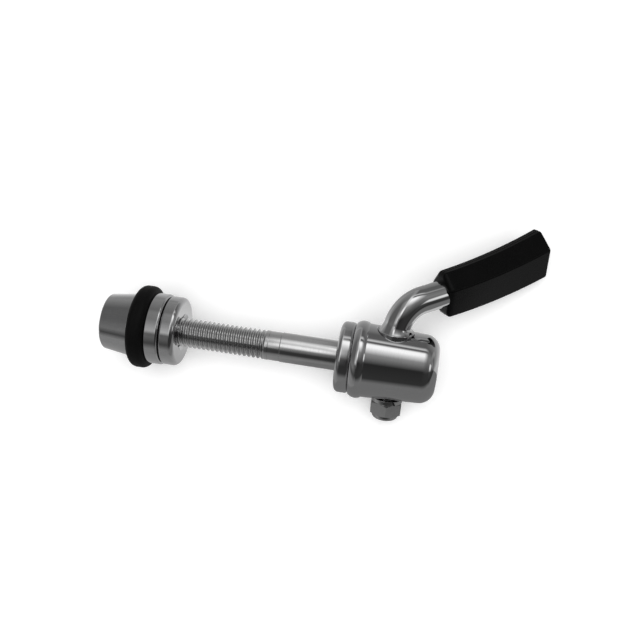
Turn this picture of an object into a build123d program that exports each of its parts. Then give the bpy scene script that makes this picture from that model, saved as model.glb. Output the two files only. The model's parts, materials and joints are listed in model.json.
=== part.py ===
"""Cam lever: a quick-release clamp bolt with an internal cam.

A headed stud runs through a loose washer into a turned housing. A bent lever crosses the
housing, and its eccentric works in the eye of the stud, so turning the lever pulls the stud.
At the stud's other end a cone nut with a rubber finger ring sets the clamping width.

Sizes are in millimetres. Every piece is drawn in the bolt frame: +X along the stud towards
the housing, +Y along the lever's shaft towards the grip, origin where the stud's axis meets
the housing-side clamp face. lay_down() then turns the whole bolt as it lies on a table.
"""

from build123d import *
import math
import os

# --- stud -------------------------------------------------------------------------------
SHANK_D = 8.0             # plain shank
THREAD_D = SHANK_D - 0.1  # crests of the M8 thread, rolled from the shank
NECK_D = SHANK_D - 0.2    # short plain neck between thread and shank
NECK_LENGTH = 3.2
SHANK_LENGTH = 15.4       # from the clamp face back to the neck
TAIL_CHAMFER = 0.8
HEAD_GAP = 0.35           # radial, between the stud's head and the housing's bore
HEAD_FLATS = 6.8          # thickness of the head between its milled flats
HEAD_CONE = 2.6           # length of the cone from shank to head
HEAD_CORE_STEP = 0.6      # the cone is left standing this far below the shank's surface
HEAD_ROUND = 1.8
EYE_WALL = 1.9            # metal in front of and behind the eye

# --- cam --------------------------------------------------------------------------------
CAM_THROW = 1.0           # offset of the eccentric from the shaft's axis
CAM_D = 7.2
EYE_CLEARANCE = 0.4       # the eye is eased so that it clears the cam all the way round
CAM_SIDE_GAP = 0.5        # between each journal and the stud's flat beside it
RUNNING_GAP = 0.05        # radial gap of every turning or sliding fit

# --- cam housing ------------------------------------------------------------------------
HOUSING_LENGTH = 22.3
HOUSING_BORE_D = 14.7
HOUSING_BASE_D = 19.6     # outside, next to the rim
HOUSING_END_D = 17.9      # outside, at the closed end
HOUSING_END_ROUND = 4.1
HOUSING_END_WALL = 3.0
RIM_D = 20.6
RIM_WIDTH = 3.5           # the rim is one round bead, up to the groove beside it
RIM_FACE_STEP = 0.55      # the bead's crest stands this far above its edge at the clamp face
RIM_BLEND = 0.5           # hollow fillet between bead and barrel
MOUTH_CHAMFER = 0.3
SHAFT_TO_RIM = 10.3       # from the open end to the lever's shaft
SPOT_DEPTH = 0.2          # flat under the spring washer, below the barrel's lowest line
SPOT_MARGIN = 1.0         # of that flat round the spring washer

# --- washers ----------------------------------------------------------------------------
CAM_WASHER_D = 18.9
NUT_WASHER_D = 18.6
CAM_WASHER_THICKNESS = 3.9
NUT_WASHER_THICKNESS = 4.0
WASHER_BORE_GAP = 0.2     # radial, round the stud
CLAMP_SIDE_ROUND = 1.3    # of the edge that meets the clamped part
BACK_ROUND = 0.5
WASHER_BORE_CHAMFER = 0.8

# --- adjusting nut and its rubber ring ----------------------------------------------------
CLAMP_WIDTH = 42.7        # between the two clamp faces as it lies
NUT_GAP = 0.25            # between the nut's flange and its washer
NUT_LENGTH = 16.8
FLANGE_D = 19.2
FLANGE_WIDTH = 3.7
FLANGE_ROUND = 0.6
GROOVE_D = 15.2
RING_WIDTH = 4.7
RING_D = 22.4
RING_ROUND = 1.7
RING_GAP = 0.05
CONE_BIG_D = 17.4
CONE_SMALL_D = 15.0
CONE_ROUND = 0.7
CONE_LIP = 0.4            # small rounding beside the ring
NUT_LEAD = 0.6            # chamfer at both ends of the nut's thread
STUD_IN_NUT = 1.0         # the stud's end lies this far inside the nut

# --- lever ------------------------------------------------------------------------------
ROD_D = 7.2
JOURNAL_MARGIN = 0.1      # radial: the eccentric slips through the upper journal's hole
JOURNAL_TOP = 7.6         # above the stud's axis
ROD_FLARE = 1.3           # height of the hollow flare from journal to bar
FLARE_RADIUS = 1.43
PIVOT_D = 6.0             # lower journal
TAIL_D = 4.9              # crests of the M5 thread
SHAFT_TAIL_CHAMFER = 0.5
BEND_START = 9.1          # above the stud's axis
BEND_RADIUS = 8.65
BEND_ANGLE = 76.5
ROD_TO_GRIP = 5.8         # straight bar between the bend and the grip
TANG_D = 6.0              # bar inside the grip
TANG_LENGTH = 24.0
TANG_END_GAP = 0.5        # left empty beyond the tang, inside the grip
LEVER_ANGLE = 33.6        # lever as it lies, from pointing straight away from the clamp

# --- grip -------------------------------------------------------------------------------
GRIP_LENGTH = 31.6
GRIP_CURVE = 150.0        # radius of the grip's long axis
GRIP_GROWTH = 0.08        # the section grows by this share from near end to far end
GRIP_SLANT = 8.0          # the far end leans out at the crest by this angle
GRIP_CREST = (6.1, 1.3)   # (height, half width) of the narrow top facet
GRIP_RIDGE = (2.2, 4.8)   # the side ridges
GRIP_KEEL = (-6.3, 2.2)   # the bottom facet
GRIP_EDGE_ROUND = 0.8
GRIP_NOSE_ROUND = 0.75
GRIP_GAP = 0.02

# --- nut and spring washer on the lever's shaft -------------------------------------------
SHAFT_NUT_FLATS = 8.0
SHAFT_NUT_HEIGHT = 5.0
SHAFT_NUT_HEX = 3.6       # of that height, the hexagon
COLLAR_D = 7.0            # round collar below the hexagon, curled in over the insert
COLLAR_ROUND = 0.7
COLLAR_LIP = 0.25         # thickness of the curled lip
COLLAR_MOUTH_D = 5.4      # opening that the lip leaves
INSERT_D = 5.9            # nylon ring that grips the thread
INSERT_THICKNESS = 1.0
INSERT_GAP = 0.02
SHAFT_NUT_FACE = 0.97     # diameter of the turned face, against the width across flats
SHAFT_NUT_CHAMFER = 30.0  # angle at which the corners are turned off
TAIL_PROUD = 0.2          # the shaft's threaded tail stands this far out of its nut
SPRING_WASHER_D = 8.4
SPRING_WASHER_BORE_GAP = 0.2
SPRING_WASHER_THICKNESS = 1.15
SPRING_WASHER_SPLIT = 0.5
SPRING_WASHER_SLANT = 30.0        # of the split, from the shaft's direction
SPRING_WASHER_SPLIT_ANGLE = 60.0

# --- how the bolt lies --------------------------------------------------------------------
ROLL = 31.2               # turned about the stud until shaft nut and grip meet the table

# --- worked out from the sizes above ------------------------------------------------------
HEAD_D = HOUSING_BORE_D - 2 * HEAD_GAP
CAM_LENGTH = HEAD_FLATS + 2 * CAM_SIDE_GAP
JOURNAL_D = CAM_D + 2 * CAM_THROW + 2 * JOURNAL_MARGIN
SPOT_D = SPRING_WASHER_D + 2 * SPOT_MARGIN
SPRING_WASHER_BORE_D = TAIL_D + 2 * SPRING_WASHER_BORE_GAP
HOUSING_X = CAM_WASHER_THICKNESS
SHAFT_X = HOUSING_X + SHAFT_TO_RIM
THREAD_END_X = -SHANK_LENGTH - NECK_LENGTH
NUT_WASHER_X = -CLAMP_WIDTH - NUT_WASHER_THICKNESS
NUT_FACE_X = NUT_WASHER_X - NUT_GAP
NUT_END_X = NUT_FACE_X - NUT_LENGTH
FLANGE_X = NUT_FACE_X - FLANGE_WIDTH
GROOVE_X = FLANGE_X - RING_WIDTH - 2 * RING_GAP
STUD_END_X = NUT_END_X + STUD_IN_NUT
RING_X = FLANGE_X - RING_GAP - RING_WIDTH / 2
SPOT_Y = -(HOUSING_BASE_D + HOUSING_END_D) / 4 + SPOT_DEPTH
SHOULDER_Y = SPOT_Y - RUNNING_GAP
SHAFT_NUT_Y = SHOULDER_Y - SPRING_WASHER_THICKNESS
INSERT_Y = SHAFT_NUT_Y - SHAFT_NUT_HEIGHT + COLLAR_LIP + INSERT_GAP + INSERT_THICKNESS
SHAFT_TAIL_Y = SHAFT_NUT_Y - SHAFT_NUT_HEIGHT - TAIL_PROUD


def turned(points):
    """Solid of revolution about the stud's axis, from (x, radius) points."""
    return revolve(Plane.XY * make_face(Polyline(*points, close=True)), Axis.X)


def rounded(solid, x, diameter, radius):
    """Fillet the circular edge of this diameter that lies at this x."""
    edges = solid.edges().filter_by(GeomType.CIRCLE)
    edges = edges.filter_by(lambda e: abs(e.radius - diameter / 2) < 0.01)
    edges = edges.filter_by(lambda e: abs(e.arc_center.X - x) < 0.01)
    return fillet(edges, radius)


def upright_bar(diameter, low, high, shift=0.0):
    """Round bar along the lever's shaft, between two heights, set over by shift along Z."""
    plane = Plane(origin=(0, low, shift), x_dir=(1, 0, 0), z_dir=(0, 1, 0))
    return extrude(plane * Circle(diameter / 2), high - low)


def make_stud():
    """Threaded stud, turned in one with the flat-sided head that holds the eye."""
    eye_x = SHAFT_X + CAM_THROW * math.sin(math.radians(LEVER_ANGLE))
    eye_half_x = CAM_D / 2 + EYE_CLEARANCE
    head_start = eye_x - eye_half_x - EYE_WALL
    head_end = eye_x + eye_half_x + EYE_WALL
    stud = turned([
        (STUD_END_X, 0),
        (STUD_END_X, THREAD_D / 2 - TAIL_CHAMFER),
        (STUD_END_X + TAIL_CHAMFER, THREAD_D / 2),
        (THREAD_END_X, THREAD_D / 2),
        (THREAD_END_X, NECK_D / 2),
        (THREAD_END_X + NECK_LENGTH, NECK_D / 2),
        (THREAD_END_X + NECK_LENGTH, SHANK_D / 2),
        (head_start - HEAD_CONE, SHANK_D / 2),
        (head_start, HEAD_D / 2),
        (head_end, HEAD_D / 2),
        (head_end, 0),
    ])
    stud = rounded(stud, head_end, HEAD_D, HEAD_ROUND)
    for side in (1, -1):
        flat = Box(head_end - head_start + 2 * HEAD_CONE, HEAD_D, 2 * HEAD_D)
        stud -= Pos(eye_x, side * (HEAD_FLATS + HEAD_D) / 2, 0) * flat
    core_r = SHANK_D / 2 - HEAD_CORE_STEP
    stud = stud + turned([
        (head_start - HEAD_CONE, 0),
        (head_start - HEAD_CONE, core_r),
        (head_start, core_r),
        (head_start, 0),
    ])
    # The eccentric also swings across the stud, so the eye is a short slot that way.
    slot = SlotOverall(2 * eye_half_x + CAM_THROW, 2 * eye_half_x, rotation=90)
    slot_plane = Plane(origin=(eye_x, -HEAD_D, CAM_THROW / 2), x_dir=(1, 0, 0), z_dir=(0, 1, 0))
    return stud - extrude(slot_plane * slot, 2 * HEAD_D)


def make_cam_housing():
    """Closed-ended turned housing with a raised rim and the two shaft holes."""
    end_x = HOUSING_X + HOUSING_LENGTH
    rim_end = HOUSING_X + RIM_WIDTH
    bore_r = HOUSING_BORE_D / 2
    face_r = RIM_D / 2 - RIM_FACE_STEP
    bead = ThreePointArc(
        (HOUSING_X, face_r),
        (HOUSING_X + RIM_WIDTH / 2, RIM_D / 2),
        (rim_end, HOUSING_BASE_D / 2),
    )
    barrel = Polyline(
        (rim_end, HOUSING_BASE_D / 2),
        (end_x, HOUSING_END_D / 2),
        (end_x, 0),
        (end_x - HOUSING_END_WALL, 0),
        (end_x - HOUSING_END_WALL, bore_r),
        (HOUSING_X, bore_r),
        (HOUSING_X, face_r),
    )
    housing = revolve(make_face(Wire([bead, *barrel.edges()])), Axis.X)
    housing = rounded(housing, end_x, HOUSING_END_D, HOUSING_END_ROUND)
    housing = rounded(housing, rim_end, HOUSING_BASE_D, RIM_BLEND)
    at_shaft = Pos(SHAFT_X, 0, 0)
    upper_d = JOURNAL_D + 2 * RUNNING_GAP
    lower_d = PIVOT_D + 2 * RUNNING_GAP
    housing -= at_shaft * upright_bar(upper_d, 0, RIM_D)
    housing -= at_shaft * upright_bar(lower_d, -RIM_D, 0)
    housing -= at_shaft * upright_bar(SPOT_D, -RIM_D, SPOT_Y)
    mouth = housing.edges().filter_by(
        lambda e: e.center().Y > HOUSING_BORE_D / 2 and abs(e.center().X - SHAFT_X) < 0.5
    )
    return chamfer(mouth, MOUTH_CHAMFER)


def make_clamp_washer(x, diameter, thickness, first_round, last_round):
    """Thick turned washer whose first face lies at x, and the rounding of its two edges."""
    bore = SHANK_D / 2 + WASHER_BORE_GAP
    washer = turned([
        (x, bore + WASHER_BORE_CHAMFER),
        (x, diameter / 2),
        (x + thickness, diameter / 2),
        (x + thickness, bore + WASHER_BORE_CHAMFER),
        (x + thickness - WASHER_BORE_CHAMFER, bore),
        (x + WASHER_BORE_CHAMFER, bore),
    ])
    washer = rounded(washer, x, diameter, first_round)
    return rounded(washer, x + thickness, diameter, last_round)


def make_cam_washer():
    """Loose washer between the housing's open end and the clamped part."""
    sizes = (CAM_WASHER_D, CAM_WASHER_THICKNESS)
    return make_clamp_washer(0, *sizes, CLAMP_SIDE_ROUND, BACK_ROUND)


def make_nut_washer():
    """Loose washer between the clamped part and the nut's flange."""
    sizes = (NUT_WASHER_D, NUT_WASHER_THICKNESS)
    return make_clamp_washer(NUT_WASHER_X, *sizes, BACK_ROUND, CLAMP_SIDE_ROUND)


def make_adjusting_nut():
    """Cone nut with a groove for the rubber ring and a flange that bears on its washer."""
    bore = THREAD_D / 2 + RUNNING_GAP
    nut = turned([
        (NUT_END_X, bore + NUT_LEAD),
        (NUT_END_X, CONE_SMALL_D / 2),
        (GROOVE_X, CONE_BIG_D / 2),
        (GROOVE_X, GROOVE_D / 2),
        (FLANGE_X, GROOVE_D / 2),
        (FLANGE_X, FLANGE_D / 2),
        (NUT_FACE_X, FLANGE_D / 2),
        (NUT_FACE_X, bore + NUT_LEAD),
        (NUT_FACE_X - NUT_LEAD, bore),
        (NUT_END_X + NUT_LEAD, bore),
    ])
    nut = rounded(nut, NUT_END_X, CONE_SMALL_D, CONE_ROUND)
    nut = rounded(nut, GROOVE_X, CONE_BIG_D, CONE_LIP)
    nut = rounded(nut, FLANGE_X, FLANGE_D, FLANGE_ROUND / 2)
    return rounded(nut, NUT_FACE_X, FLANGE_D, FLANGE_ROUND)


def make_finger_ring():
    """Rubber ring stretched into the nut's groove."""
    start = RING_X - RING_WIDTH / 2
    end = RING_X + RING_WIDTH / 2
    inner = GROOVE_D / 2 + RING_GAP
    ring = turned([(start, inner), (start, RING_D / 2), (end, RING_D / 2), (end, inner)])
    ring = rounded(ring, start, RING_D, RING_ROUND)
    return rounded(ring, end, RING_D, RING_ROUND)


def bend_end():
    """Where the bar leaves its bend, and its direction there, in the lever's own plane."""
    angle = math.radians(BEND_ANGLE)
    point = Vector(
        BEND_RADIUS * (1 - math.cos(angle)),
        BEND_START + BEND_RADIUS * math.sin(angle),
    )
    return point, Vector(math.sin(angle), math.cos(angle))


def swing(solid):
    """Turn a lever piece from the bolt's plane to where the lever lies, at the shaft."""
    return Pos(SHAFT_X, 0, 0) * Rot(0, LEVER_ANGLE, 0) * solid


def grip_axis():
    """The line about which the grip's section is swept to follow its curve."""
    point, along = bend_end()
    start = point + along * ROD_TO_GRIP
    up = Vector(-along.Y, along.X)
    return start, along, up, Axis(start + up * GRIP_CURVE, (0, 0, 1))


def swept_about_grip_axis(face, length):
    """Sweep a face that stands across the bar along the grip's curve."""
    return revolve(face, grip_axis()[3], math.degrees(length / GRIP_CURVE))


def grip_section_plane():
    """Plane across the bar at the grip's near end: x up the section, y across it."""
    start, along, up, _ = grip_axis()
    return Plane(origin=start, x_dir=up, z_dir=along)


def make_cam_lever():
    """Lever forged and turned in one: bent bar, two journals, eccentric and threaded tail."""
    half_cam = CAM_LENGTH / 2
    flare_top = JOURNAL_TOP + ROD_FLARE
    tail_r = TAIL_D / 2
    lower = Polyline(
        (0, -half_cam),
        (0, SHAFT_TAIL_Y),
        (tail_r - SHAFT_TAIL_CHAMFER, SHAFT_TAIL_Y),
        (tail_r, SHAFT_TAIL_Y + SHAFT_TAIL_CHAMFER),
        (tail_r, SHOULDER_Y),
        (PIVOT_D / 2, SHOULDER_Y),
        (PIVOT_D / 2, -half_cam),
        close=True,
    )
    # Hollow flare from the upper journal up to the bar.
    upper = [
        Polyline((0, BEND_START), (0, half_cam), (JOURNAL_D / 2, half_cam)),
        Line((JOURNAL_D / 2, half_cam), (JOURNAL_D / 2, JOURNAL_TOP)),
        RadiusArc((JOURNAL_D / 2, JOURNAL_TOP), (ROD_D / 2, flare_top), FLARE_RADIUS),
        Polyline((ROD_D / 2, flare_top), (ROD_D / 2, BEND_START), (0, BEND_START)),
    ]
    shaft = revolve(make_face(lower), Axis.Y)
    shaft += upright_bar(CAM_D, -half_cam, half_cam, CAM_THROW)
    shaft += revolve(make_face(Wire([e for part in upper for e in part.edges()])), Axis.Y)
    point, along = bend_end()
    bend = TangentArc((0, BEND_START), point, tangent=(0, 1))
    run_in = Line(point, point + along * ROD_TO_GRIP)
    bar_plane = Plane(origin=bend @ 0, x_dir=(1, 0, 0), z_dir=(0, 1, 0))
    bar = sweep(bar_plane * Circle(ROD_D / 2), path=Wire([bend, run_in]))
    tang = swept_about_grip_axis(grip_section_plane() * Circle(TANG_D / 2), TANG_LENGTH)
    return swing(shaft + bar + tang)


def grip_section(share):
    """The six-sided section at this share of the grip's length, standing across it."""
    side = [GRIP_CREST, GRIP_RIDGE, GRIP_KEEL]
    corners = side + [(height, -half) for height, half in reversed(side)]
    outline = make_face(Polyline(*corners, close=True))
    outline = scale(fillet(outline.vertices(), GRIP_EDGE_ROUND), 1 + GRIP_GROWTH * share)
    turn = math.degrees(share * GRIP_LENGTH / GRIP_CURVE)
    leaning = Rot(0, -GRIP_SLANT * share, 0) * outline
    return (grip_section_plane() * leaning).rotate(grip_axis()[3], turn)


def make_lever_grip():
    """Curved six-sided grip moulded over the end of the bar, with a blind hole for it."""
    grip = loft([grip_section(share) for share in (0, 0.5, 1)])
    nose = grip.faces().sort_by_distance(grip_axis()[0])[0]
    grip = fillet(nose.edges(), GRIP_NOSE_ROUND)
    hole_d = TANG_D + 2 * GRIP_GAP
    hole_length = TANG_LENGTH + TANG_END_GAP
    hole = swept_about_grip_axis(grip_section_plane() * Circle(hole_d / 2), hole_length)
    return swing(grip - hole)


def make_shaft_nut():
    """Hexagon lock nut on the lever's threaded tail, with a collar curled over its insert."""
    low = SHAFT_NUT_Y - SHAFT_NUT_HEIGHT
    hex_low = SHAFT_NUT_Y - SHAFT_NUT_HEX
    plane = Plane(origin=(0, hex_low, 0), x_dir=(1, 0, 0), z_dir=(0, 1, 0))
    corner_r = SHAFT_NUT_FLATS / math.sqrt(3)
    nut = extrude(plane * RegularPolygon(corner_r, 6), SHAFT_NUT_HEX)
    face_r = SHAFT_NUT_FLATS / 2 * SHAFT_NUT_FACE
    drop = (corner_r - face_r) * math.tan(math.radians(SHAFT_NUT_CHAMFER))
    outline = Polyline(
        (0, hex_low),
        (face_r, hex_low),
        (corner_r, hex_low + drop),
        (corner_r, SHAFT_NUT_Y - drop),
        (face_r, SHAFT_NUT_Y),
        (0, SHAFT_NUT_Y),
        close=True,
    )
    nut &= revolve(make_face(outline), Axis.Y)
    collar = upright_bar(COLLAR_D, low, hex_low)
    nut += fillet(collar.edges().sort_by(Axis.Y)[0], COLLAR_ROUND)
    nut -= upright_bar(TAIL_D + 2 * RUNNING_GAP, INSERT_Y, SHAFT_NUT_Y + 1)
    nut -= upright_bar(INSERT_D + 2 * INSERT_GAP, low + COLLAR_LIP, INSERT_Y + INSERT_GAP)
    return swing(nut - upright_bar(COLLAR_MOUTH_D, low - 1, INSERT_Y))


def make_nut_insert():
    """Nylon ring held in the lock nut's collar."""
    low = INSERT_Y - INSERT_THICKNESS
    ring = upright_bar(INSERT_D, low, INSERT_Y)
    return swing(ring - upright_bar(TAIL_D + 2 * RUNNING_GAP, low - 1, INSERT_Y + 1))


def make_spring_washer():
    """Split spring washer, drawn pressed flat between the nut and the shaft's shoulder."""
    washer = upright_bar(SPRING_WASHER_D, SHAFT_NUT_Y, SHOULDER_Y)
    washer -= upright_bar(SPRING_WASHER_BORE_D, SHAFT_NUT_Y - 1, SHOULDER_Y + 1)
    cutter = Box(SPRING_WASHER_D, 4 * SPRING_WASHER_THICKNESS, SPRING_WASHER_SPLIT)
    middle = Pos(SPRING_WASHER_D / 2, (SHAFT_NUT_Y + SHOULDER_Y) / 2, 0)
    split = middle * Rot(SPRING_WASHER_SLANT, 0, 0) * cutter
    washer -= Rot(0, -SPRING_WASHER_SPLIT_ANGLE - LEVER_ANGLE, 0) * split
    return swing(washer)


def lay_down(solid):
    """Turn a piece from the bolt frame to how the bolt lies: on ring, shaft nut and grip."""
    return Rot(ROLL, 0, 0) * solid


def main():
    """Build every piece, lay it down and write one STEP file for each."""
    pieces = {
        "stud": make_stud(),
        "cam_housing": make_cam_housing(),
        "cam_washer": make_cam_washer(),
        "nut_washer": make_nut_washer(),
        "adjusting_nut": make_adjusting_nut(),
        "finger_ring": make_finger_ring(),
        "cam_lever": make_cam_lever(),
        "lever_grip": make_lever_grip(),
        "shaft_nut": make_shaft_nut(),
        "nut_insert": make_nut_insert(),
        "spring_washer": make_spring_washer(),
    }
    os.makedirs("parts", exist_ok=True)
    for name, solid in pieces.items():
        export_step(lay_down(solid), f"parts/{name}.step")


main()
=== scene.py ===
"""Cam lever: the looks of a quick-release clamp bolt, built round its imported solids.

Every piece is a surface worked out in the bolt's own frame, in millimetres: x runs along the
stud towards the housing, w along the lever's shaft towards the grip, and v is square to both.
The origin is where the stud's axis meets the housing-side clamp face. as_it_lies() turns the
points about the stud to how the bolt lies on its table, and gives metres.
"""

import json
import math

import bmesh
import bpy
import numpy as np
from mathutils import Matrix, Vector


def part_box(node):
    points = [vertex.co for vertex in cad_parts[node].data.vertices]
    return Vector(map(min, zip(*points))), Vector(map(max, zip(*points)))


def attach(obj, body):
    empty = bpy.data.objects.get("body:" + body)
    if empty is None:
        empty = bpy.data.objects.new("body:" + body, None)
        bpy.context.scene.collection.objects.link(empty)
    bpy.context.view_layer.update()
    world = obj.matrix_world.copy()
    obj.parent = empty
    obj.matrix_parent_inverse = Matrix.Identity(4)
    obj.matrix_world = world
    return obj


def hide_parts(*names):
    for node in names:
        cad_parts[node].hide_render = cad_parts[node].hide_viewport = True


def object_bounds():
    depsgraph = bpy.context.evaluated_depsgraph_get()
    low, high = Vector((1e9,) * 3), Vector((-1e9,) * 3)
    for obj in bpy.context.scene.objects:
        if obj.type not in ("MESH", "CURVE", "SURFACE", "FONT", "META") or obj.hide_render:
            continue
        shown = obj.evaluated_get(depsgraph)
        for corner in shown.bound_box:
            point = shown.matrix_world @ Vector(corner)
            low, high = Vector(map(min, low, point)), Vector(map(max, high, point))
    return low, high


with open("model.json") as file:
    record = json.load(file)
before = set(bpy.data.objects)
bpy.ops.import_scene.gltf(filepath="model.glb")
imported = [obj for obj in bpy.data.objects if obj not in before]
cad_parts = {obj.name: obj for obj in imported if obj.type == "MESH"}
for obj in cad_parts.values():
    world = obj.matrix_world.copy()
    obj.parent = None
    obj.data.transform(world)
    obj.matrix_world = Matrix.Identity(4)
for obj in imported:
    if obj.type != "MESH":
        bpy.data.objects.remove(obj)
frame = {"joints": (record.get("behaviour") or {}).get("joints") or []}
cad_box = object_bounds()

MM = 0.001
JOINTS = {joint["name"]: joint for joint in frame["joints"]}


def ends(node):
    """Lowest and highest x of a solid, in mm."""
    low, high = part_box(node)
    return low[0] / MM, high[0] / MM


def reach(node):
    """Radius of a solid that is turned about the stud, in mm."""
    low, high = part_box(node)
    return (high[2] - low[2]) / 2 / MM


# --- places read from the solids ----------------------------------------------------------
SHAFT_AXIS = JOINTS["lever_turn"]["axis"]
ROLL = math.atan2(SHAFT_AXIS[2], SHAFT_AXIS[1])
SHAFT_X = JOINTS["lever_turn"]["pos_m"][0] / MM
STUD_START, STUD_END = ends("stud")
HOUSING_START, HOUSING_END = ends("cam_housing")
RIM_R = reach("cam_housing")
RING_START, RING_END = ends("finger_ring")
RING_R = reach("finger_ring")
NUT_START, NUT_END = ends("adjusting_nut")
FLANGE_R = reach("adjusting_nut")

# --- sizes that a box can't give, in mm: the solids' own, where no comment says otherwise ----
SHANK_R = 4.0
CREST_R = 3.95
NECK_R = 3.9
NECK_LENGTH = 3.2
STUD_CHAMFER = 0.8
RUNNING_GAP = 0.05        # of every turning or sliding fit
SHANK_LENGTH = 15.4
STUD_PITCH = 1.25
THREAD_DEPTH = 0.45       # against the pitch
HEAD_R = 7.0
HEAD_HALF = 3.4
HEAD_CONE = 2.6
HEAD_ROUND = 1.8
EYE_R = 4.0
EYE_WALL = 1.9
CAM_THROW = 1.0
WASHER_BORE_R = 4.2
WASHER_CHAMFER = 0.8
CLAMP_SIDE_ROUND = 1.3
BACK_ROUND = 0.5
RIM_SIDE_ROUND = 1.0      # of the washer's edge at the rim; 0.5 on the solid
BORE_R = 7.35
BASE_R = 9.8
END_R = 8.95
END_ROUND = 4.1
END_WALL = 3.0
RIM_WIDTH = 3.5
RIM_FACE_STEP = 0.8       # 0.55 on the solid
UPPER_HOLE_R = 4.75
LOWER_HOLE_R = 3.05
MOUTH_CHAMFER = 0.3
SPOT_R = 5.2
SPOT_DEPTH = 0.2
FLANGE_WIDTH = 3.7
FLANGE_ROUND = 0.6
GROOVE_R = 7.6
RING_GAP = 0.05
RING_ROUND = 1.7
CONE_BIG_R = 8.7
CONE_SMALL_R = 7.5
CONE_ROUND = 0.7
CONE_LIP = 0.4
NUT_BORE_R = 4.0
NUT_LEAD = 0.6
ROD_R = 3.6
JOURNAL_R = 4.7
JOURNAL_TOP = 9.6         # its lip stands just proud of the housing; the solid stops at 7.6
JOURNAL_EDGE = 0.25
FLARE_WIDTH = 0.8         # of the hollow flare beyond the bar, at its foot
FLARE_END = math.radians(14)
FLARE_RINGS = 12
HALF_CAM = 3.9
CAM_R = 3.6
PIVOT_R = 3.0
TAIL_R = 2.45
TAIL_PITCH = 0.8
TAIL_CHAMFER = 0.5
TAIL_PROUD = 0.2
BEND_START = 9.1
BEND_RADIUS = 8.65
BEND_ANGLE = math.radians(76.5)
ROD_TO_GRIP = 5.8
TANG_R = 3.0
TANG_LENGTH = 24.0
TANG_END_GAP = 0.5
TANG_GAP = 0.02
LEVER_ANGLE = math.radians(33.6)
GRIP_LENGTH = 31.6
GRIP_CURVE = 150.0
GRIP_GROWTH = 0.08
GRIP_SLANT = math.radians(8)
GRIP_SIDE = [(6.1, 1.3), (2.2, 4.8), (-6.3, 2.2)]     # crest, ridge and keel: height, half width
GRIP_EDGE_ROUND = 0.8
GRIP_NOSE_ROUND = 1.2     # 0.75 on the solid
GRIP_END_ROUND = 0.35     # sharp on the solid
GRIP_SEAM = 0.07          # height of the mould's parting line
SHAFT_NUT_HALF = 4.0
SHAFT_NUT_HEIGHT = 5.0
SHAFT_NUT_HEX = 3.6
SHAFT_NUT_FACE = 0.97
SHAFT_NUT_CHAMFER = math.radians(30)
SHAFT_NUT_LEAD = 0.35
COLLAR_R = 3.5
COLLAR_ROUND = 0.7
COLLAR_LIP = 0.25
COLLAR_MOUTH_R = 2.7
INSERT_R = 2.95
INSERT_THICKNESS = 1.0
INSERT_GAP = 0.02
SPRING_R = 4.2
SPRING_BORE_R = 2.65
SPRING_THICKNESS = 1.15
SPRING_SPLIT = 0.5
SPRING_SPLIT_ANGLE = math.radians(60)
SPRING_SLANT = math.radians(30)

SPOT_W = -(BASE_R + END_R) / 2 + SPOT_DEPTH
SHOULDER_W = SPOT_W - RUNNING_GAP
NUT_TOP_W = SHOULDER_W - SPRING_THICKNESS
NUT_LOW_W = NUT_TOP_W - SHAFT_NUT_HEIGHT
TAIL_W = NUT_LOW_W - TAIL_PROUD
INSERT_W = NUT_LOW_W + COLLAR_LIP + INSERT_THICKNESS + 2 * INSERT_GAP

# --- fineness -----------------------------------------------------------------------------
AROUND = 256              # columns round the stud's axis
SUPPORT = 0.03            # a row this close to each rounding keeps the flats flat


# --- points -------------------------------------------------------------------------------
def as_it_lies(points):
    """The bolt's frame turned about the stud by its roll, and millimetres made metres."""
    x, w, v = np.moveaxis(np.asarray(points, float), -1, 0)
    y = w * math.cos(ROLL) - v * math.sin(ROLL)
    z = w * math.sin(ROLL) + v * math.cos(ROLL)
    return np.stack([x, y, z], -1) * MM


def swung(points):
    """The lever's own plane, in which it points along x, turned about the shaft to its place."""
    x, w, v = np.moveaxis(np.asarray(points, float), -1, 0)
    turn_cos, turn_sin = math.cos(LEVER_ANGLE), math.sin(LEVER_ANGLE)
    return np.stack([SHAFT_X + x * turn_cos + v * turn_sin, w, v * turn_cos - x * turn_sin], -1)


def along_run(start, end, spacing):
    """Points on a straight run, evenly spaced, with one close to each end."""
    length = np.linalg.norm(end - start)
    if length < 4 * SUPPORT:
        return np.array([start, end])
    inner = np.linspace(SUPPORT, length - SUPPORT, max(2, int(length / spacing) + 2))
    steps = np.concatenate([[0.0], inner, [length]]) / length
    return start + steps[:, None] * (end - start)


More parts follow.
